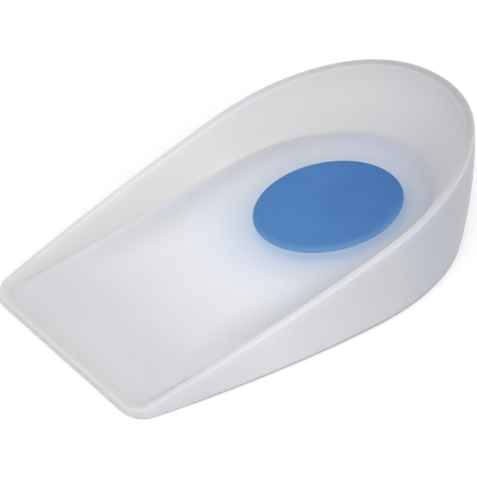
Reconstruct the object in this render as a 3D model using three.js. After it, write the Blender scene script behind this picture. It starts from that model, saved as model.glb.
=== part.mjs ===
// A silicone heel cup for the inside of a shoe: an open bowl round the heel that tapers to a thin,
// straight toe edge, with a softer oval spot let into its floor under the heel bone.
// Millimetres, +Z up. The toe edge faces -Y and the back of the heel faces +Y.

import * as THREE from 'three';

// Overall sizes
const cupLength = 105;
const soleWidth = 65.3;
const rimWidth = 58.9;
const toeWidth = 50.6;
const toeCorner = 5;
const toeThickness = 2.1;
const heelHeight = 22.9;

// How the rim runs: it leans out past the sole at the back, and levels off over the last few
// millimetres of its climb from the toe
const heelOverhang = 5.4;
const rimLeveling = 5.1;

// Wall: thin at the rim, thick at its foot, bulging a little outside and hollowed a little inside
const rimWallHeel = 2.2;
const rimWallToe = 1.2;
const sideWallFoot = 8.7;
const heelWallFoot = 3.2;
const toeWallFoot = 2.6;
const bulgeDepth = 0.8;
const hollowDepth = 0.4;
const edgeRound = 0.4;
const creaseRound = 1.8;

// Floor: it climbs towards the heel, and is dished down to the spot from some way round it
const toeLip = 0.1;
const creaseClimb = 6.6;
const dishReach = 14;

// Oval spot in its pocket
const spotLength = 34.8;
const spotWidth = 27.6;
const spotDepth = 2.9;
const spotEdgeRound = 0.3;
const spotClearance = 0.3;
const spotToFloorBack = 7.5;
const skinUnderSpot = 1.4;

// The surface just inside a rounded edge, at a half of its quarter turn
const midTurn = 1 - Math.SQRT1_2;

// Plan outlines. The widest point is a share of the outline's own length. The flank's power says how
// late it narrows towards the toe. The heel is an ellipse, and its full share says how far it stands
// past one. The corner is a share of the toe corner.
const soleBack = cupLength - heelOverhang;
const plans = {
  sole: {
    toe: 0, back: soleBack, toeHalf: toeWidth / 2, fullHalf: soleWidth / 2,
    widestShare: 0.607, flankPower: 1.71, fullShare: 0.052, cornerShare: 1,
  },
  rim: {
    toe: 0, back: cupLength, toeHalf: toeWidth / 2, fullHalf: rimWidth / 2,
    widestShare: 0.613, flankPower: 1.75, fullShare: 0.01, cornerShare: 1,
  },
  floor: {
    toe: toeWallFoot, back: soleBack - heelWallFoot,
    toeHalf: toeWidth / 2 - toeWallFoot, fullHalf: soleWidth / 2 - sideWallFoot,
    widestShare: 0.665, flankPower: 1.86, fullShare: -0.032, cornerShare: 0.6,
  },
};

// How many points half an outline has on each stretch, from the middle of the toe edge to the back
const pointCounts = { toe: 5, corner: 5, flank: 13, heel: 16 };

// Rows up the outer wall and down the inner one, as shares of the wall, and rows across the
// floor, as shares of the way from the crease to the pocket
const outerRows = [0, 0.15, 0.32, 0.5, 0.68, 0.85, 1];
const innerRows = [1, 0.75, 0.5, 0.25];
const filletRows = [0, 0.3, 0.7, 1];
const floorRows = [0.2, 0.45, 0.7, 0.88, 1];

const { lerp: mix, smoothstep } = THREE.MathUtils;
const arch = (t) => 4 * t * (1 - t);

// Half width of an outline at a distance y from the toe edge, along its flank
function flankHalf(plan, y) {
  const widestY = mix(plan.toe, plan.back, plan.widestShare);
  const t = (y - plan.toe) / (widestY - plan.toe);
  return mix(plan.toeHalf, plan.fullHalf, 1 - (1 - t) ** plan.flankPower);
}

// One toe corner: a conic arc from the straight edge to the flank, round the square corner
function cornerPoint(plan, t) {
  const radius = toeCorner * plan.cornerShare;
  const start = new THREE.Vector2(plan.toeHalf - radius, plan.toe);
  const square = new THREE.Vector2(plan.toeHalf, plan.toe);
  const end = new THREE.Vector2(flankHalf(plan, plan.toe + radius), plan.toe + radius);
  const squareWeight = 2 * Math.SQRT1_2 * t * (1 - t);
  const point = start.multiplyScalar((1 - t) ** 2)
    .addScaledVector(square, squareWeight)
    .addScaledVector(end, t ** 2);
  return point.divideScalar((1 - t) ** 2 + squareWeight + t ** 2);
}

// Closed outline, anticlockwise from above, starting in the middle of the toe edge
function outline(plan) {
  const radius = toeCorner * plan.cornerShare;
  const widestY = mix(plan.toe, plan.back, plan.widestShare);
  const half = [];
  for (let i = 0; i < pointCounts.toe; i++) {
    half.push(new THREE.Vector2((plan.toeHalf - radius) * i / pointCounts.toe, plan.toe));
  }
  for (let i = 0; i < pointCounts.corner; i++) {
    half.push(cornerPoint(plan, i / pointCounts.corner));
  }
  for (let i = 0; i < pointCounts.flank; i++) {
    const y = mix(plan.toe + radius, widestY, i / pointCounts.flank);
    half.push(new THREE.Vector2(flankHalf(plan, y), y));
  }
  for (let i = 0; i < pointCounts.heel; i++) {
    const angle = Math.PI / 2 * i / pointCounts.heel;
    const across = Math.cos(angle);
    const along = Math.sin(angle);
    half.push(new THREE.Vector2(
      plan.fullHalf * across * (1 + plan.fullShare * along ** 2),
      mix(widestY, plan.back, along * (1 + plan.fullShare * across ** 2)),
    ));
  }
  const back = new THREE.Vector2(0, plan.back);
  const mirrored = half.slice(1).reverse().map((p) => new THREE.Vector2(-p.x, p.y));
  return [...half, back, ...mirrored];
}

// The outline's outward direction at each of its points
function outward(points) {
  return points.map((_, i) => {
    const before = points.at(i - 1);
    const after = points[(i + 1) % points.length];
    return new THREE.Vector2(after.y - before.y, before.x - after.x).normalize();
  });
}

// The rim climbs in a nearly straight line from the toe and levels off at the heel
function rimHeight(y) {
  const toGo = Math.max(0, 1 - y / cupLength);
  const soft = rimLeveling / cupLength;
  const left = (Math.hypot(toGo, soft) - soft) / (Math.hypot(1, soft) - soft);
  return mix(heelHeight, toeThickness, left);
}

// Height of the crease between floor and wall
function creaseHeight(y) {
  return toeThickness - toeLip + creaseClimb * (y / cupLength) ** 1.45;
}

const sole = outline(plans.sole);
const rim = outline(plans.rim);
const crease = outline(plans.floor);
const soleOut = outward(sole);
const rimOut = outward(rim);

const pocketDepth = spotDepth + spotClearance;
const spotTop = skinUnderSpot + pocketDepth;
const spotMiddle = plans.floor.back - spotToFloorBack - spotLength / 2;

// Oval whose points lie on the same rays from its middle as the crease's points
function oval(halfWidth, halfLength) {
  return crease.map((p) => {
    const ray = new THREE.Vector2(p.x, p.y - spotMiddle);
    return ray.divideScalar(Math.hypot(ray.x / halfWidth, ray.y / halfLength));
  });
}

const pocket = oval(spotWidth / 2 + spotClearance, spotLength / 2 + spotClearance);
const spotEdge = oval(spotWidth / 2, spotLength / 2);

// A closed body through rings of equally many points, with a flat cap at each end
function loft(rings) {
  const count = rings[0].length;
  const middle = (ring) => ring
    .reduce((sum, p) => sum.add(p), new THREE.Vector3())
    .divideScalar(count);
  const vertices = [...rings.flat(), middle(rings[0]), middle(rings.at(-1))];
  const firstCap = rings.length * count;
  const lastCap = firstCap + 1;
  const lastRing = firstCap - count;
  const triangles = [];
  for (let i = 0; i < count; i++) {
    const next = (i + 1) % count;
    triangles.push(firstCap, next, i);
    for (let row = 0; row < lastRing; row += count) {
      triangles.push(row + i, row + next, row + count + next);
      triangles.push(row + i, row + count + next, row + count + i);
    }
    triangles.push(lastCap, lastRing + i, lastRing + next);
  }
  const geometry = new THREE.BufferGeometry().setFromPoints(vertices);
  geometry.setIndex(triangles);
  geometry.computeVertexNormals();
  return geometry;
}

// A ring at one inset from an outline and at one height
function insetRing(points, directions, inset, height) {
  return points.map((p, i) => new THREE.Vector3(
    p.x - directions[i].x * inset(p, i),
    p.y - directions[i].y * inset(p, i),
    height(p, i),
  ));
}

// Underside and its rounded edge
function undersideRings() {
  const ring = (inset, height) => insetRing(sole, soleOut, () => inset, () => height);
  return [ring(edgeRound, 0), ring(edgeRound * midTurn, edgeRound * midTurn)];
}

// Outer wall, from the sole's outline to the rim's, standing out in the middle of its height
// except at the toe edge
function outerWallRings() {
  return outerRows.map((t) => sole.map((low, i) => {
    const high = rim[i];
    const stand = bulgeDepth * arch(t) * Math.min(1, low.y / (cupLength - soleWidth));
    return new THREE.Vector3(
      mix(low.x, high.x, t) + rimOut[i].x * stand,
      mix(low.y, high.y, t) + rimOut[i].y * stand,
      mix(edgeRound, rimHeight(high.y) - edgeRound, t),
    );
  }));
}

// Flat top of the rim with its two rounded edges. The inner edge is rounded less where the rim
// stands hardly higher than the floor.
function rimRings() {
  const wall = (p) => mix(rimWallToe, rimWallHeel, p.y / cupLength);
  const top = (p) => rimHeight(p.y);
  const innerRound = (p, i) => Math.min(edgeRound, 0.4 * (top(p) - creaseHeight(crease[i].y)));
  const ring = (inset, height) => insetRing(rim, rimOut, inset, height);
  return [
    ring(() => edgeRound * midTurn, (p) => top(p) - edgeRound * midTurn),
    ring(() => edgeRound, top),
    ring((p, i) => wall(p) - innerRound(p, i), top),
    ring((p, i) => wall(p) - innerRound(p, i) * midTurn, (p, i) => top(p) - innerRound(p, i) * midTurn),
    ring(wall, (p, i) => top(p) - innerRound(p, i)),
  ];
}

// Inner wall, rounded crease and dished floor, from the rim's inner edge to the pocket's
function hollowRings(rimInside) {
  const foot = crease.map((p) => new THREE.Vector3(p.x, p.y, creaseHeight(p.y)));
  const wallPoint = (i, t) => {
    const point = foot[i].clone().lerp(rimInside[i], t);
    const hollow = hollowDepth * arch(t) * Math.min(1, rimHeight(rim[i].y) / heelHeight);
    point.x += rimOut[i].x * hollow;
    point.y += rimOut[i].y * hollow;
    return point;
  };
  const floorPoint = (i, s) => {
    const edge = new THREE.Vector2(pocket[i].x, pocket[i].y + spotMiddle);
    const point = crease[i].clone().lerp(edge, s);
    const reach = Math.min(dishReach, edge.distanceTo(crease[i]));
    const climb = smoothstep(point.distanceTo(edge), 0, reach);
    return new THREE.Vector3(point.x, point.y, mix(spotTop, creaseHeight(point.y), climb));
  };
  const round = foot.map((p, i) => Math.min(creaseRound, 0.4 * p.distanceTo(rimInside[i])));
  const wallStart = foot.map((p, i) => round[i] / p.distanceTo(rimInside[i]));
  const floorStart = foot.map((p, i) => round[i] / p.distanceTo(floorPoint(i, 1)));
  const wallRings = innerRows.slice(1).map((t) => foot.map(
    (_, i) => wallPoint(i, mix(wallStart[i], 1, t)),
  ));
  const creaseRings = filletRows.map((t) => foot.map((p, i) => {
    const bend = new THREE.QuadraticBezierCurve3(
      wallPoint(i, wallStart[i]), p, floorPoint(i, floorStart[i]),
    );
    return bend.getPoint(t);
  }));
  const floorRings = floorRows.map((t) => foot.map(
    (_, i) => floorPoint(i, mix(floorStart[i], 1, t)),
  ));
  return [...wallRings, ...creaseRings, ...floorRings];
}

// The whole cup is one moulding
function cupGeometry() {
  const rimPart = rimRings();
  const pocketFloor = pocket.map(
    (p) => new THREE.Vector3(p.x, spotMiddle + p.y, spotTop - pocketDepth),
  );
  return loft([
    ...undersideRings(), ...outerWallRings(), ...rimPart, ...hollowRings(rimPart.at(-1)), pocketFloor,
  ]);
}

// The spot is a flat oval plug with eased edges, flush with the floor round it
function spotGeometry() {
  const round = spotEdgeRound;
  const directions = spotEdge.map((p) => p.clone().normalize());
  const ring = (inset, height) => insetRing(spotEdge, directions, () => inset, () => height);
  return loft([
    ring(round, 0), ring(round * midTurn, round * midTurn), ring(0, round),
    ring(0, spotDepth - round), ring(round * midTurn, spotDepth - round * midTurn),
    ring(round, spotDepth),
  ]);
}

// Milky silicone and the blue softer silicone of the spot
const milkySilicone = new THREE.MeshStandardMaterial({ color: 0xd8dadf, roughness: 0.42, metalness: 0 });
const blueSilicone = new THREE.MeshStandardMaterial({ color: 0x4d7bb7, roughness: 0.5, metalness: 0 });

const cupShell = new THREE.Mesh(cupGeometry(), milkySilicone);
cupShell.name = 'cup_shell';

const heelSpot = new THREE.Mesh(spotGeometry(), blueSilicone);
heelSpot.name = 'heel_spot';
heelSpot.position.set(0, spotMiddle, spotTop - spotDepth);

const heelCup = new THREE.Group();
heelCup.position.y = -cupLength / 2;
heelCup.add(cupShell, heelSpot);

export default heelCup;
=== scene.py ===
import math

import bpy
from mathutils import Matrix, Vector


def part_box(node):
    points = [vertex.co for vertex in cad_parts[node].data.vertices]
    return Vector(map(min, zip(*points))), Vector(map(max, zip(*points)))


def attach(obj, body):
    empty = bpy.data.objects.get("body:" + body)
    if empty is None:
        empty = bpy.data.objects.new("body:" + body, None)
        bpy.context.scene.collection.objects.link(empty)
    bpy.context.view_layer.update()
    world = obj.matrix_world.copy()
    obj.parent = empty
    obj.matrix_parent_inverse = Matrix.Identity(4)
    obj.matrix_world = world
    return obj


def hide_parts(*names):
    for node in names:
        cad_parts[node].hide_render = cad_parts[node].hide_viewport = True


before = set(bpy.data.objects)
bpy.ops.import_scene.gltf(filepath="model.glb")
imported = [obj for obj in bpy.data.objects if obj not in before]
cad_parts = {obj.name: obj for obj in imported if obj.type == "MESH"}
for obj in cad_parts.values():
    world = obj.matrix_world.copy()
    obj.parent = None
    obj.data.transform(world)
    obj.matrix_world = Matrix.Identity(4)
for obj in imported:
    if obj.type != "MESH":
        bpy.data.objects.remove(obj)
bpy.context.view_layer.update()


# The view: a long lens looks down into the cup from between its toe edge and its +X side. The
# distance and the lens together give the photograph's nearly parallel perspective.

MM = 0.001


def aimed(name, data, target, azimuth, elevation, distance):
    """A camera or light that faces a target. The angles are in degrees: azimuth 0 is beyond the
    toe edge and 90 is on the +X side."""
    a, e = math.radians(azimuth), math.radians(elevation)
    direction = Vector((math.sin(a) * math.cos(e), -math.cos(a) * math.cos(e), math.sin(e)))
    aimed_object = bpy.data.objects.new(name, data)
    aimed_object.location = target + direction * distance
    aimed_object.rotation_euler = (-direction).to_track_quat("-Z", "Y").to_euler()
    bpy.context.scene.collection.objects.link(aimed_object)
    return aimed_object


# Blender takes the sensor and the lens in millimetres.
camera_data = bpy.data.cameras.new("camera")
camera_data.sensor_width = 36
camera_data.lens = 287.5
camera_target = Vector((-0.4 * MM, -5.5 * MM, 8 * MM))
bpy.context.scene.camera = aimed(
    "camera", camera_data, camera_target, azimuth=51.77, elevation=40.38, distance=810 * MM)


# The cup: one soft moulding of milky silicone rubber, with a flat sole, a dished floor and a wall
# that is thick at its foot and thin at the rim. The wall stands high round the heel and dies out
# at the straight toe edge. It is moulded whole, so nothing is fixed to it but the spot.

cup_low, cup_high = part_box("cup_shell")
spot_low, spot_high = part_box("heel_spot")
cup_length = cup_high[1] - cup_low[1]
sole_width = cup_high[0] - cup_low[0]
heel_height = cup_high[2]
toe_edge = cup_low[1]
spot_bottom = spot_low[2]
spot_top = spot_high[2]
spot_middle = (spot_low[1] + spot_high[1]) / 2
spot_half_width = (spot_high[0] - spot_low[0]) / 2
spot_half_length = (spot_high[1] - spot_low[1]) / 2

rim_width = 58.9 * MM
toe_width = 50.6 * MM
toe_corner = 4.2 * MM
toe_thickness = 2.1 * MM
heel_overhang = 5.4 * MM
rim_leveling = 5.1 * MM
rim_wall_heel = 2.2 * MM
rim_wall_toe = 1.2 * MM
side_wall_foot = 8.7 * MM
heel_wall_foot = 3.2 * MM
toe_wall_foot = 2.6 * MM
toe_lip = 0.1 * MM
crease_climb = 6.6 * MM
crease_curve = 1.45
dish_reach = 14 * MM
outer_bulge = 0.8 * MM
inner_hollow = 0.4 * MM
edge_round = 0.4 * MM
pocket_bottom = 1.4 * MM
# The CAD solids stand 0.3 mm apart round the spot. The real joint is bonded, so here the pieces
# meet, this far outside the CAD's spot.
bonded_gap = 0.25 * MM

# The three plan outlines that the moulding follows, measured from the toe edge. The widest point
# and the fullness of the heel, which is how far it stands past an ellipse, are shares. Flank is
# the power by which a side straightens, and corner a share of the toe corner's radius.
sole_back = cup_length - heel_overhang
plans = {
    "sole": dict(toe=0, back=sole_back, toe_half=toe_width / 2, full_half=sole_width / 2,
                 widest=0.607, flank=1.71, fullness=0.052, corner=1),
    "rim": dict(toe=0, back=cup_length, toe_half=toe_width / 2, full_half=rim_width / 2,
                widest=0.613, flank=1.75, fullness=0.01, corner=1),
    "crease": dict(toe=toe_wall_foot, back=sole_back - heel_wall_foot,
                   toe_half=toe_width / 2 - toe_wall_foot,
                   full_half=sole_width / 2 - side_wall_foot,
                   widest=0.665, flank=1.86, fullness=-0.032, corner=0.6),
}
# Points along each stretch of half an outline, and how often its bends are evened out.
toe_steps, corner_steps, flank_steps, heel_steps = 6, 6, 16, 20
bend_passes = 8


def mix(a, b, t):
    return a + (b - a) * t


def bow(t):
    """0 at both ends and 1 in the middle."""
    return 4 * t * (1 - t)


def outline(plan):
    """Closed outline from the middle of the toe edge, anticlockwise from above."""
    toe, back, toe_half, full_half = plan["toe"], plan["back"], plan["toe_half"], plan["full_half"]
    radius = toe_corner * plan["corner"]
    widest = mix(toe, back, plan["widest"])

    def flank_half(y):
        return mix(toe_half, full_half, 1 - (1 - (y - toe) / (widest - toe)) ** plan["flank"])

    half = [Vector(((toe_half - radius) * i / toe_steps, toe, 0)) for i in range(toe_steps)]
    # The toe corner is a quarter round, drawn as a weighted curve from the toe edge to the flank.
    start = Vector((toe_half - radius, toe, 0))
    square = Vector((toe_half, toe, 0))
    end = Vector((flank_half(toe + radius), toe + radius, 0))
    for i in range(corner_steps):
        t = i / corner_steps
        weights = ((1 - t) ** 2, math.sqrt(2) * t * (1 - t), t ** 2)
        half.append((start * weights[0] + square * weights[1] + end * weights[2]) / sum(weights))
    for i in range(flank_steps):
        y = mix(toe + radius, widest, i / flank_steps)
        half.append(Vector((flank_half(y), y, 0)))
    for i in range(heel_steps):
        angle = math.pi / 2 * i / heel_steps
        across = math.cos(angle) * (1 + plan["fullness"] * math.sin(angle) ** 2)
        along = math.sin(angle) * (1 + plan["fullness"] * math.cos(angle) ** 2)
        half.append(Vector((full_half * across, mix(widest, back, along), 0)))
    mirrored = [Vector((-p.x, p.y, 0)) for p in reversed(half[1:])]
    return evened(half + [Vector((0, back, 0))] + mirrored)


def evened(points):
    """Evens out the bends behind the toe corners, from two corner radii on. Each point moves
    towards the middle of its neighbours and then as far back, so that nothing shrinks."""
    for share in (0.5, -0.5) * bend_passes:
        before, after = points[-1:] + points[:-1], points[1:] + points[:1]
        points = [
            point.lerp((a + b) / 2, share * min(1, max(0, point.y / toe_corner - 2)))
            for a, point, b in zip(before, points, after)
        ]
    return points


def rim_height(y):
    """The rim climbs almost straight from the toe and levels off at the heel."""
    to_go = max(0, 1 - y / cup_length)
    soft = rim_leveling / cup_length
    left = (math.hypot(to_go, soft) - soft) / (math.hypot(1, soft) - soft)
    return mix(heel_height, toe_thickness, left)


def crease_height(y):
    """The crease, at the foot of the inner wall, climbs more steeply towards the heel."""
    return toe_thickness - toe_lip + crease_climb * (y / cup_length) ** crease_curve


def oval_point(towards, half_width, half_length):
    """Point of an oval round the spot's middle, in the direction of another point."""
    ray = Vector((towards.x, towards.y + toe_edge - spot_middle, 0))
    return ray / math.hypot(ray.x / half_width, ray.y / half_length) + Vector((0, spot_middle, 0))


def floor_point(crease_point, pocket_point, share):
    """The floor climbs with the crease, and is dished down to the spot from some way round it."""
    point = (crease_point + from_toe).lerp(pocket_point, share)
    from_spot = (point - pocket_point).length
    reach = min(dish_reach, (crease_point + from_toe - pocket_point).length)
    climb = min(1, from_spot / reach)
    climb = climb * climb * (3 - 2 * climb)
    return point + up * mix(spot_top, crease_height(point.y - toe_edge), climb)


# Rails are the lines that run round the moulding, with a place for every step of the outline.
# Each is kept as an attribute of one ring of points. The floor has a rail for each of its rows,
# which stand at these shares of the way from the crease to the spot.
floor_shares = (0.06, 0.16, 0.28, 0.42, 0.57, 0.72, 0.86, 0.95)
floor_rows = {f"floor_{n}": share for n, share in enumerate(floor_shares)}
sole, rim, crease = (outline(plans[name]) for name in ("sole", "rim", "crease"))
from_toe = Vector((0, toe_edge, 0))
up = Vector((0, 0, 1))
rails = {name: [] for name in (
    "sole", "rim", "lip", "crease", *floor_rows, "pocket", "middle", "outward", "belly", "up",
)}
for i, rim_point in enumerate(rim):
    along = rim[(i + 1) % len(rim)] - rim[i - 1]
    outward = Vector((along.y, -along.x, 0)).normalized()
    height = up * rim_height(rim_point.y)
    wall = mix(rim_wall_toe, rim_wall_heel, rim_point.y / cup_length)
    pocket_point = oval_point(
        crease[i], spot_half_width + bonded_gap, spot_half_length + bonded_gap)
    rails["sole"].append(sole[i] + from_toe)
    rails["rim"].append(rim_point + from_toe + height)
    rails["lip"].append(rim_point - outward * wall + from_toe + height)
    rails["crease"].append(crease[i] + from_toe + up * crease_height(crease[i].y))
    for name, share in floor_rows.items():
        rails[name].append(floor_point(crease[i], pocket_point, share))
    rails["pocket"].append(pocket_point)
    rails["middle"].append(Vector((0, spot_middle, 0)))
    rails["outward"].append(outward)
    rails["belly"].append(outward * min(1, rim_point.y / (cup_length - sole_width)))
    rails["up"].append(up)

# The section, from the middle of the sole out, up the wall, over the rim, down to the floor and
# in to the bottom of the spot's pocket. Each row says how much of each rail it takes, with
# outward, belly and up in metres. The tones are kept on the mesh, and tell the material which face
# of the moulding it is on, and so which run of milky colour and painted shade it takes. Rows that
# stand close together hold an edge through the smoothing.
edge_cut = 0.3 * edge_round
outer_wall_rows = (0, 0.03, 0.12, 0.3, 0.5, 0.7, 0.88, 1)
# Way down the inner wall, and how much of the rim's painted shade and of the foot's a row has. The
# foot is painted paler, as painted light where the wall meets the floor.
inner_wall_rows = (
    (0.03, 0.5, 0), (0.12, 0.3, 0), (0.3, 0.1, 0), (0.5, 0, 0),
    (0.7, 0, 0), (0.86, 0, 0.2), (0.95, 0, 0.6),
)
section = [
    dict(middle=1, outside_tone=1),
    dict(middle=0.5, sole=0.5, outside_tone=1),
    dict(middle=0.06, sole=0.94, outside_tone=1),
    dict(sole=1, outward=-2 * edge_round, outside_tone=1),
    # The line tone is painted contact shadow: a thin dark line along the sole's edge.
    dict(sole=1, outward=-edge_round, outside_tone=1, line_tone=1),
    dict(sole=1, outward=-edge_cut, up=edge_cut, outside_tone=1, line_tone=1),
]
for t in outer_wall_rows:
    section.append(dict(
        sole=1 - t, rim=t, belly=outer_bulge * bow(t), up=mix(edge_round, -edge_round, t),
        outside_tone=1, line_tone=0.8 if t == 0 else 0,
    ))
section += [
    dict(rim=1, outward=-edge_cut, up=-edge_cut, outside_tone=0.8, rim_tone=0.5),
    dict(rim=1, outward=-edge_round, rim_tone=1),
    dict(rim=0.5, lip=0.5, rim_tone=1),
    dict(lip=1, outward=0.5 * edge_round, rim_tone=1),
]
for t, rim_tone, foot_tone in inner_wall_rows:
    section.append(dict(
        lip=1 - t, crease=t, belly=inner_hollow * bow(t),
        wall_tone=1, rim_tone=rim_tone, foot_tone=foot_tone,
    ))
section.append(dict(crease=1, wall_tone=0.5, foot_tone=0.7))
# The edge tone, painted shade on the floor along the crease, peaks a fifth of the way in from the
# crease. The bond tone is next to the spot.
for name, share in floor_rows.items():
    section.append({
        name: 1, "edge_tone": 8 * share * (1 - share) ** 4, "bond_tone": share ** 8,
    })
section += [
    dict(pocket=1, up=spot_top, bond_tone=1),
    dict(pocket=1, up=spot_top - 0.25 * edge_round, bond_tone=1),
    dict(pocket=1, up=mix(spot_top, pocket_bottom, 0.5)),
    dict(pocket=1, up=pocket_bottom + edge_round),
    dict(pocket=0.97, middle=0.03, up=pocket_bottom),
    dict(pocket=0.5, middle=0.5, up=pocket_bottom),
    dict(middle=1, up=pocket_bottom),
]


def linear(hex_colour):
    """sRGB hex to linear, with full alpha."""
    channels = [int(hex_colour[i:i + 2], 16) / 255 for i in (0, 2, 4)]
    return [c / 12.92 if c <= 0.04045 else ((c + 0.055) / 1.055) ** 2.4 for c in channels] + [1]


def add_node(tree, kind, settings=None, inputs=None, shades=()):
    """Adds a node with its settings. An input is a value or another node's output. Shades are a
    ramp's (position, sRGB hex) steps, of which the first is at 0 and the last at 1."""
    node = tree.nodes.new(kind)
    for name, value in (settings or {}).items():
        setattr(node, name, value)
    for key, value in (inputs or {}).items():
        if isinstance(value, bpy.types.NodeSocket):
            tree.links.new(value, node.inputs[key])
        else:
            node.inputs[key].default_value = value
    for position, shade in shades:
        steps = node.color_ramp.elements
        step = steps[0] if position == 0 else steps[-1] if position == 1 else steps.new(position)
        step.color = linear(shade)
    return node


# The loft puts every crossing of rail and section at the sum of its rails, each times its share.
# The points that fall together at both ends become poles, the faces are turned to point out, and
# the cage is then smoothed.
loft = bpy.data.node_groups.new("moulding loft", "GeometryNodeTree")
loft_inputs = {
    name: loft.interface.new_socket(
        name, in_out="INPUT", socket_type=f"NodeSocket{kind}",
    ).identifier
    for name, kind in (
        ("Rail", "Geometry"), ("Section", "Object"), ("Smoothing", "Int"), ("Pole weld", "Float"),
        ("Material", "Material"),
    )
}
loft.interface.new_socket("Piece", in_out="OUTPUT", socket_type="NodeSocketGeometry")
given = add_node(loft, "NodeGroupInput")
section_info = add_node(loft, "GeometryNodeObjectInfo", inputs={
    "Object": given.outputs["Section"],
})
section_curve = add_node(loft, "GeometryNodeMeshToCurve", inputs={
    "Mesh": section_info.outputs["Geometry"],
})
rail_curve = add_node(loft, "GeometryNodeMeshToCurve", inputs={"Mesh": given.outputs["Rail"]})
swept = add_node(loft, "GeometryNodeCurveToMesh", inputs={
    "Curve": rail_curve.outputs["Curve"], "Profile Curve": section_curve.outputs["Curve"],
})
place = None
for key in rails:
    rail = add_node(loft, "GeometryNodeInputNamedAttribute", {"data_type": "FLOAT_VECTOR"},
                    {"Name": f"{key}_rail"})
    share = add_node(loft, "GeometryNodeInputNamedAttribute", {"data_type": "FLOAT"},
                     {"Name": f"{key}_share"})
    place = add_node(loft, "ShaderNodeVectorMath", {"operation": "MULTIPLY_ADD"}, {
        0: rail.outputs["Attribute"],
        1: share.outputs["Attribute"],
        2: place.outputs["Vector"] if place else (0, 0, 0),
    })
placed = add_node(loft, "GeometryNodeSetPosition", inputs={
    "Geometry": swept.outputs["Mesh"], "Position": place.outputs["Vector"],
})
welded = add_node(loft, "GeometryNodeMergeByDistance", inputs={
    "Geometry": placed.outputs["Geometry"], "Distance": given.outputs["Pole weld"],
})
faced_out = add_node(loft, "GeometryNodeFlipFaces", inputs={"Mesh": welded.outputs["Geometry"]})
smoothed = add_node(loft, "GeometryNodeSubdivisionSurface", inputs={
    "Mesh": faced_out.outputs["Mesh"], "Level": given.outputs["Smoothing"],
})
shaded = add_node(loft, "GeometryNodeSetShadeSmooth", inputs={
    "Geometry": smoothed.outputs["Mesh"],
})
realized = add_node(loft, "GeometryNodeRealizeInstances", inputs={
    "Geometry": shaded.outputs["Geometry"],
})
finished = add_node(loft, "GeometryNodeSetMaterial", inputs={
    "Geometry": realized.outputs["Geometry"], "Material": given.outputs["Material"],
})
add_node(loft, "NodeGroupOutput", inputs={"Piece": finished.outputs["Geometry"]})


def line_object(name, points, closed, attributes):
    """A line of points that carries attributes: {name: (data type, field, values)}."""
    count = len(points)
    edges = [(i, (i + 1) % count) for i in range(count if closed else count - 1)]
    mesh = bpy.data.meshes.new(name)
    mesh.from_pydata(points, edges, [])
    for key, (data_type, field, values) in attributes.items():
        mesh.attributes.new(key, data_type, "POINT").data.foreach_set(field, values)
    line = bpy.data.objects.new(name, mesh)
    bpy.context.scene.collection.objects.link(line)
    return line


def ring_object(name, ring_rails):
    """The ring of points stands on the first rail, and carries them all."""
    attributes = {
        f"{key}_rail": ("FLOAT_VECTOR", "vector", [number for point in rail for number in point])
        for key, rail in ring_rails.items()
    }
    return line_object(name, next(iter(ring_rails.values())), True, attributes)


def section_object(name, rows):
    """The rows stand one step apart on a straight line, which the loft then puts in place. They
    have a share for every rail that the loft knows, which is 0 where none is given."""
    tones = {key for row in rows for key in row if key.endswith("_tone")}
    columns = [(key, f"{key}_share") for key in rails] + [(key, key) for key in sorted(tones)]
    attributes = {
        attribute: ("FLOAT", "value", [row.get(key, 0) for row in rows])
        for key, attribute in columns
    }
    points = [(0, 0, row_number * MM) for row_number in range(len(rows))]
    return line_object(name, points, False, attributes)


def lofted_piece(name, ring_rails, rows, material):
    """A plain mesh object lofted through its rails and section rows."""
    ring_line = ring_object(f"{name}_ring", ring_rails)
    section_line = section_object(f"{name}_section", rows)
    modifier = ring_line.modifiers.new("loft", "NODES")
    modifier.node_group = loft
    modifier[loft_inputs["Section"]] = section_line
    modifier[loft_inputs["Smoothing"]] = 2
    modifier[loft_inputs["Pole weld"]] = 0.001 * MM
    modifier[loft_inputs["Material"]] = material
    evaluated = ring_line.evaluated_get(bpy.context.evaluated_depsgraph_get())
    mesh = bpy.data.meshes.new_from_object(evaluated)
    for attribute in [a.name for a in mesh.attributes if a.name.endswith(("_rail", "_share"))]:
        mesh.attributes.remove(mesh.attributes[attribute])
    mesh.name = name
    piece = bpy.data.objects.new(name, mesh)
    bpy.context.scene.collection.objects.link(piece)
    for line in (ring_line, section_line):
        bpy.data.objects.remove(line)
    return piece


def blank_material(name):
    """A material whose node tree is still empty."""
    material = bpy.data.materials.new(name)
    material.use_nodes = True
    material.node_tree.nodes.clear()
    return material


def distance_from_spot(tree, object_place, lean):
    """Distance from the spot's middle, or from beside it by lean. The spot's edge is at 1."""
    in_spot = add_node(tree, "ShaderNodeMapping", {"vector_type": "TEXTURE"}, {
        "Vector": object_place,
        "Location": Vector((0, spot_middle, 0)) + lean,
        "Scale": (spot_half_width, spot_half_length, 1),
    })
    flat = add_node(tree, "ShaderNodeVectorMath", {"operation": "MULTIPLY"}, {
        0: in_spot.outputs["Vector"], 1: (1, 1, 0),
    })
    distance = add_node(tree, "ShaderNodeVectorMath", {"operation": "LENGTH"}, {
        0: flat.outputs["Vector"],
    })
    return distance.outputs["Value"]


# Milky silicone: translucent platinum-cured rubber from a bead-blasted mould, so it is satin. It
# scatters light a few millimetres deep, which softens every edge and lightens the thin ones.
milky = blank_material("milky_silicone")
milky_tree = milky.node_tree
milky_place = add_node(milky_tree, "ShaderNodeTexCoord").outputs["Object"]
milky_axes = add_node(milky_tree, "ShaderNodeSeparateXYZ", inputs={"Vector": milky_place})
milky_along = add_node(milky_tree, "ShaderNodeMapRange", inputs={
    "Value": milky_axes.outputs["Y"], "From Min": toe_edge, "From Max": toe_edge + cup_length,
})
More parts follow.
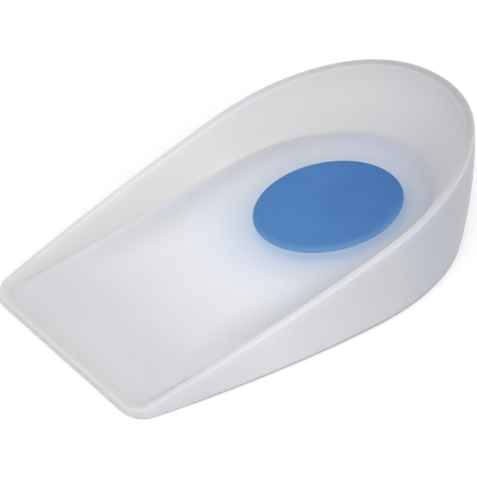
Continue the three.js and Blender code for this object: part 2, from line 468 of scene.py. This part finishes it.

# Each face of the moulding has its own run of shades, from 0 at the toe edge to 1 at the back of
# the heel. They hold the milky colour with painted shade and painted light in it: the faces are
# painted darker towards the heel and where they turn away from the light, the outside darker than
# the inside, the foot of the wall paler, and the outside a little blue beside the spot, a painted
# glow of the spot's light through the wall.
milky_colour_and_painted_shade = {
    "floor": [(0, "d3d3d7"), (0.2, "e9eaee"), (0.45, "e9ebf0"), (0.72, "dad9db"), (1, "dedde0")],
    "wall": [(0, "d0d0d1"), (0.55, "e6e5e3"), (0.85, "e0dfdd"), (1, "d8d6d8")],
    "rim": [(0, "cbcbcd"), (0.35, "d8d8da"), (0.6, "d0d0d2"), (1, "aaaaac")],
    # Painted shade: the outside is darker than the inside, and painted blue beside the spot.
    "outside": [(0, "c7c7ca"), (0.3, "d2d1d5"), (0.62, "c1c2c6"), (0.7, "b5b8c1"),
                (0.8, "b1b1b6"), (1, "adadaf")],
    # Painted shade on the floor along the crease.
    "edge": [(0, "d3d3d7"), (0.25, "d1d2d7"), (0.7, "c2c4cf"), (1, "bdbec7")],
    # Painted light: the foot of the inner wall is painted paler.
    "foot": [(0, "d2d2d4"), (0.3, "e0e0df"), (0.6, "efefed"), (1, "d8d8d9")],
    # Painted contact shadow: a thin dark line along the sole's edge.
    "line": [(0, "c4c4c6"), (0.15, "8a8a8c"), (1, "808083")],
}
milky_ramps = {
    face: add_node(milky_tree, "ShaderNodeValToRGB", inputs={
        "Fac": milky_along.outputs["Result"],
    }, shades=shades).outputs["Color"]
    for face, shades in milky_colour_and_painted_shade.items()
}

# The blue light of the spot, scattered through the milky rubber round it and under it, is painted
# into the colour as a glow. It is strongest against the spot and fades out at its reach. It leans
# a little to the +X side and to the toe, the side the camera looks from.
glow_reach = 14 * MM
glow_lean = Vector((2.0 * MM, -1.2 * MM, 0))
spot_mean_half = math.sqrt(spot_half_width * spot_half_length)
glow_share = add_node(milky_tree, "ShaderNodeMapRange", inputs={
    "Value": distance_from_spot(milky_tree, milky_place, glow_lean),
    "From Min": 1,
    "From Max": 1 + glow_reach / spot_mean_half,
})
glow = add_node(milky_tree, "ShaderNodeValToRGB", inputs={
    "Fac": glow_share.outputs["Result"],
}, shades=[
    (0, "cecece"), (0.06, "b4b4b4"), (0.16, "969696"), (0.35, "787878"), (0.6, "505050"),
    (1, "000000"),
])

# A Mix node names its sockets alike for every data type, so its colours go by number.
colour_a, colour_b, colour_out = 6, 7, 2
milky_glowing = add_node(milky_tree, "ShaderNodeMix", {"data_type": "RGBA"}, {
    "Factor": glow.outputs["Color"], colour_a: milky_ramps["floor"], colour_b: linear("7eabdc"),
})
milky_colour = milky_glowing.outputs[colour_out]
# Each face's tone lays its run of milky colour and painted shade over the floor's painted glow.
for face in ("wall", "rim", "outside", "edge", "foot", "line"):
    tone = add_node(milky_tree, "ShaderNodeAttribute", {"attribute_name": f"{face}_tone"})
    faced = add_node(milky_tree, "ShaderNodeMix", {"data_type": "RGBA"}, {
        "Factor": tone.outputs["Fac"], colour_a: milky_colour, colour_b: milky_ramps[face],
    })
    milky_colour = faced.outputs[colour_out]

# The filler in the rubber leaves faint clouds, and the blasted mould a fine matt grain.
milky_cloud_size, milky_grain_size, milky_grain_depth = 22 * MM, 0.35 * MM, 0.05 * MM
milky_cloud = add_node(milky_tree, "ShaderNodeTexNoise", inputs={
    "Vector": milky_place, "Scale": 1 / milky_cloud_size, "Detail": 2, "Roughness": 0.45,
})
milky_haze = add_node(milky_tree, "ShaderNodeValToRGB", inputs={
    "Fac": milky_cloud.outputs["Fac"],
}, shades=[(0, "f8f8f9"), (1, "ffffff")])
milky_clouded = add_node(milky_tree, "ShaderNodeMix", {
    "data_type": "RGBA", "blend_type": "MULTIPLY",
}, {
    "Factor": 1, colour_a: milky_colour, colour_b: milky_haze.outputs["Color"],
})
milky_grain = add_node(milky_tree, "ShaderNodeTexNoise", inputs={
    "Vector": milky_place, "Scale": 1 / milky_grain_size, "Detail": 2,
})
milky_relief = add_node(milky_tree, "ShaderNodeBump", inputs={
    "Height": milky_grain.outputs["Fac"], "Strength": 0.06, "Distance": milky_grain_depth,
})

# The light in the rubber ends at the bond with the opaque spot, so none is scattered there.
bond_tone = add_node(milky_tree, "ShaderNodeAttribute", {"attribute_name": "bond_tone"})
milky_spread = add_node(milky_tree, "ShaderNodeMath", {"operation": "SUBTRACT"}, {
    0: 1, 1: bond_tone.outputs["Fac"],
})
silicone_ior = 1.41
milky_shader = add_node(milky_tree, "ShaderNodeBsdfPrincipled", {
    "subsurface_method": "RANDOM_WALK",
}, {
    "Base Color": milky_clouded.outputs[colour_out],
    "Subsurface Weight": milky_spread.outputs["Value"],
    "Subsurface Radius": (1, 1, 1),
    "Subsurface Scale": 5 * MM,
    "Roughness": 0.5,
    "IOR": silicone_ior,
    "Normal": milky_relief.outputs["Normal"],
})
add_node(milky_tree, "ShaderNodeOutputMaterial", inputs={"Surface": milky_shader.outputs["BSDF"]})

cup = lofted_piece("cup", rails, section, milky)
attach(cup, "root")
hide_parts("cup_shell")


# The spot: an oval plug of softer blue silicone, cast into the pocket in the floor and bonded
# there, so its top is flush with the floor round it.

spot_edge_round = 0.05 * MM
# The spot's side stands this far into the pocket's wall, so that no slit shows at the bond.
grip = 0.02 * MM
spot_rails = {key: rails[key] for key in ("pocket", "middle", "up")}
spot_rails["outward"] = [
    (edge - middle).normalized() for edge, middle in zip(rails["pocket"], rails["middle"])
]
spot_section = [
    dict(middle=1, up=spot_bottom),
    dict(middle=0.5, pocket=0.5, up=spot_bottom),
    dict(middle=0.04, pocket=0.96, up=spot_bottom),
    dict(pocket=1, outward=grip - spot_edge_round, up=spot_bottom),
    dict(pocket=1, outward=grip, up=spot_bottom + spot_edge_round),
    dict(pocket=1, outward=grip, up=mix(spot_bottom, spot_top, 0.5)),
    dict(pocket=1, outward=grip, up=spot_top - spot_edge_round),
    dict(pocket=1, outward=grip, up=spot_top),
    dict(pocket=1, outward=grip - spot_edge_round, up=spot_top),
    dict(middle=0.04, pocket=0.96, up=spot_top),
    dict(middle=0.3, pocket=0.7, up=spot_top),
    dict(middle=0.7, pocket=0.3, up=spot_top),
    dict(middle=1, up=spot_top),
]

# Blue silicone: the same rubber, softer and pigmented through, with faint clouds of pigment. It
# looks deeper towards the heel, where the high wall keeps light off it.
blue = blank_material("blue_silicone")
blue_tree = blue.node_tree
blue_place = add_node(blue_tree, "ShaderNodeTexCoord").outputs["Object"]
blue_cloud_size = 9 * MM
blue_cloud = add_node(blue_tree, "ShaderNodeTexNoise", inputs={
    "Vector": blue_place, "Scale": 1 / blue_cloud_size, "Detail": 2, "Roughness": 0.5,
})
blue_axes = add_node(blue_tree, "ShaderNodeSeparateXYZ", inputs={"Vector": blue_place})
blue_depth = add_node(blue_tree, "ShaderNodeMapRange", inputs={
    "Value": blue_axes.outputs["Y"], "From Min": spot_low[1], "From Max": spot_high[1],
    "To Min": 0.35, "To Max": -0.3,
})
blue_share = add_node(blue_tree, "ShaderNodeMath", {"operation": "ADD"}, {
    0: blue_cloud.outputs["Fac"], 1: blue_depth.outputs["Result"],
})
blue_even = add_node(blue_tree, "ShaderNodeMix", {"data_type": "RGBA"}, {
    "Factor": blue_share.outputs["Value"], colour_a: linear("3b74b4"), colour_b: linear("4c84c0"),
})

# Its edge on the +X side and towards the toe is painted paler: a painted glow of light from the
# milky rubber, on the side the camera looks from.
pale_edge_glow_lean = Vector((-1.8 * MM, 1.2 * MM, 0))
blue_pale_edge_glow = add_node(blue_tree, "ShaderNodeMapRange", {"interpolation_type": "SMOOTHSTEP"}, {
    "Value": distance_from_spot(blue_tree, blue_place, pale_edge_glow_lean),
    "From Min": 0.95, "From Max": 1.13, "To Max": 0.4,
})
blue_colour = add_node(blue_tree, "ShaderNodeMix", {"data_type": "RGBA"}, {
    "Factor": blue_pale_edge_glow.outputs["Result"], colour_a: blue_even.outputs[colour_out],
    colour_b: linear("86b4e2"),
})
blue_shader = add_node(blue_tree, "ShaderNodeBsdfPrincipled", {
    "subsurface_method": "RANDOM_WALK",
}, {
    "Base Color": blue_colour.outputs[colour_out],
    "Subsurface Weight": 1,
    "Subsurface Radius": (0.3, 0.5, 1),
    "Subsurface Scale": 1 * MM,
    "Roughness": 0.45,
    "IOR": silicone_ior,
})
add_node(blue_tree, "ShaderNodeOutputMaterial", inputs={"Surface": blue_shader.outputs["BSDF"]})

spot = lofted_piece("spot", spot_rails, spot_section, blue)
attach(spot, "root")
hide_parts("heel_spot")


# The studio: a sheet of white paper under an even white sky, with one broad soft light from above,
# on the camera's side of the cup. The paper lies a hair under the sole.

floor_half = 3
floor_drop = 0.05 * MM
floor_mesh = bpy.data.meshes.new("floor")
floor_mesh.from_pydata([
    (x * floor_half, y * floor_half, -floor_drop) for x, y in ((-1, -1), (1, -1), (1, 1), (-1, 1))
], [], [(0, 1, 2, 3)])
floor = bpy.data.objects.new("floor", floor_mesh)
bpy.context.scene.collection.objects.link(floor)

# Matt white paper. It glows slightly, which stands for the light that a whole white studio throws
# back, and keeps it as white as the photograph's ground.
paper = blank_material("studio_paper")
paper_shader = add_node(paper.node_tree, "ShaderNodeBsdfPrincipled", inputs={
    "Base Color": linear("f7f7f8"),
    "Roughness": 0.8,
    "Emission Color": (1, 1, 1, 1),
    "Emission Strength": 0.15,
})
add_node(paper.node_tree, "ShaderNodeOutputMaterial", inputs={
    "Surface": paper_shader.outputs["BSDF"],
})
floor_mesh.materials.append(paper)

world = bpy.data.worlds.new("sky")
world.use_nodes = True
sky = world.node_tree.nodes["Background"]
sky.inputs["Color"].default_value = (1, 1, 1, 1)
sky.inputs["Strength"].default_value = 0.75
bpy.context.scene.world = world

key_panel = bpy.data.lights.new("key_panel", "AREA")
key_panel.size = 1
key_panel.energy = 6
aimed("key_panel", key_panel, Vector((0, 0, 0)), azimuth=70, elevation=50, distance=1.2)

bpy.context.scene.view_settings.view_transform = "Standard"
